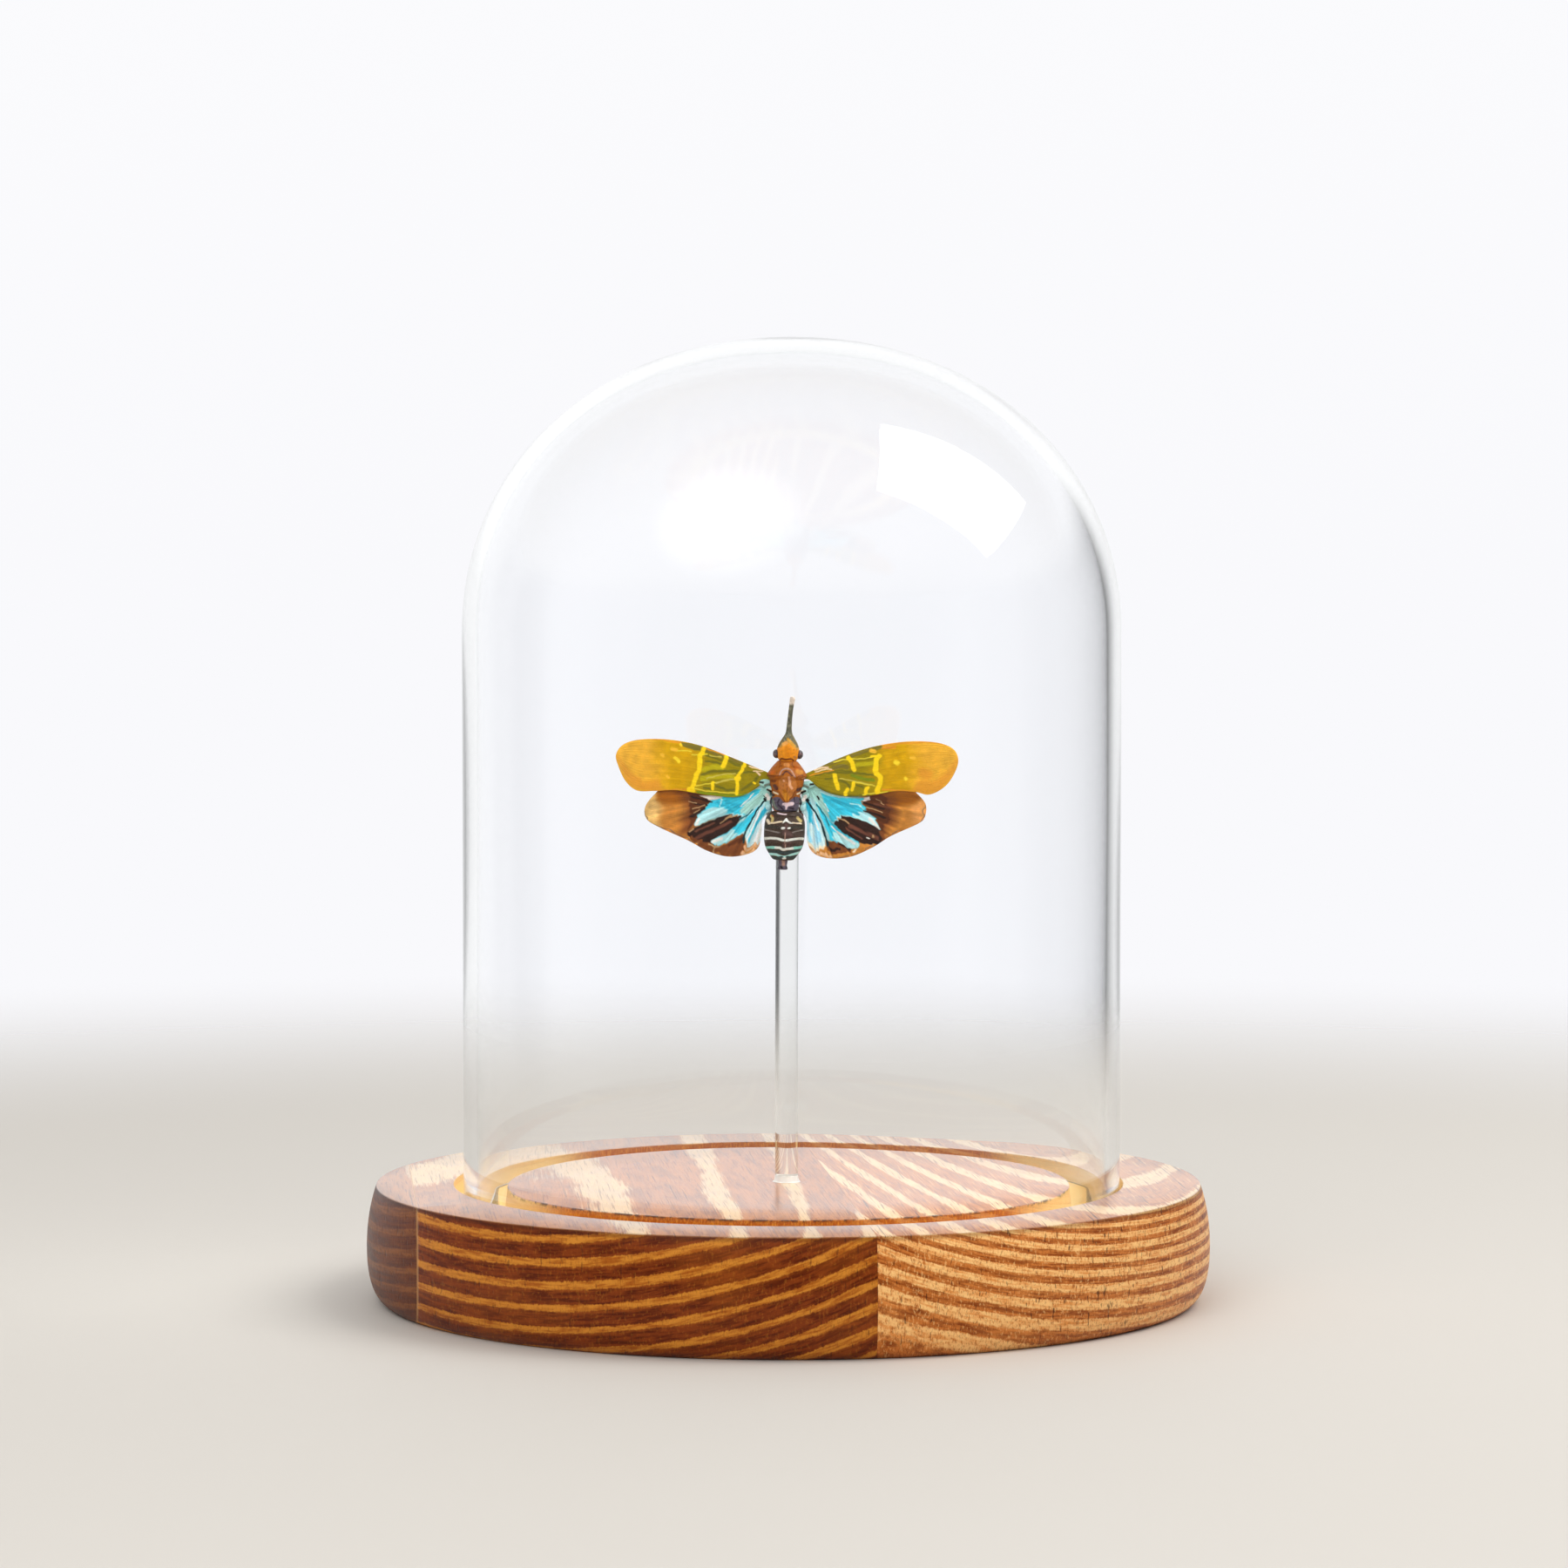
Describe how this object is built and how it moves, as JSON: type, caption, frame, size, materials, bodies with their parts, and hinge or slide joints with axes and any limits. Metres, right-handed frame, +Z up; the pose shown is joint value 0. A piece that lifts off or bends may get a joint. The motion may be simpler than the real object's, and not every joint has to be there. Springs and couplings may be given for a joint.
{
  "type": "insect in glass dome",
  "caption": "Spread lanternfly on a clear rod, on a round wooden base with a ring groove, under a loose clear glass dome.",
  "frame": {"origin": "centre of the underside of the round base", "axes": "+Z up along the dome's axis; the insect's back and spread wings face -Y, its head up; +X to the viewer's right"},
  "size_m": [0.13, 0.13, 0.148],
  "materials": {
    "pine": "satin",
    "dome_glass": "polished",
    "clear_rod": "polished",
    "clear_glue": "gloss",
    "orange_cuticle": "satin",
    "banded_cuticle": "satin",
    "dark_cuticle": "satin",
    "eye": "gloss",
    "forewing": "satin",
    "hindwing": "satin"
  },
  "bodies": {
    "root": {"base_stave_left": "pine", "base_stave_middle": "pine", "base_stave_right": "pine", "glass_dome": "dome_glass", "rod": "clear_rod", "glue_foot": "clear_glue", "glue_top": "clear_glue", "head": "orange_cuticle", "eye_left": "eye", "eye_right": "eye", "antenna_left": "orange_cuticle", "antenna_right": "orange_cuticle", "beak": "dark_cuticle", "prothorax": "orange_cuticle", "pterothorax": "orange_cuticle", "abdomen": "banded_cuticle", "anal_tube": "dark_cuticle", "forewing_left": "forewing", "forewing_right": "forewing", "hindwing_left": "hindwing", "hindwing_right": "hindwing", "leg_fore_left": "dark_cuticle", "leg_fore_right": "dark_cuticle", "leg_middle_left": "dark_cuticle", "leg_middle_right": "dark_cuticle", "leg_hind_left": "dark_cuticle", "leg_hind_right": "dark_cuticle"}
  },
  "joints": []
}
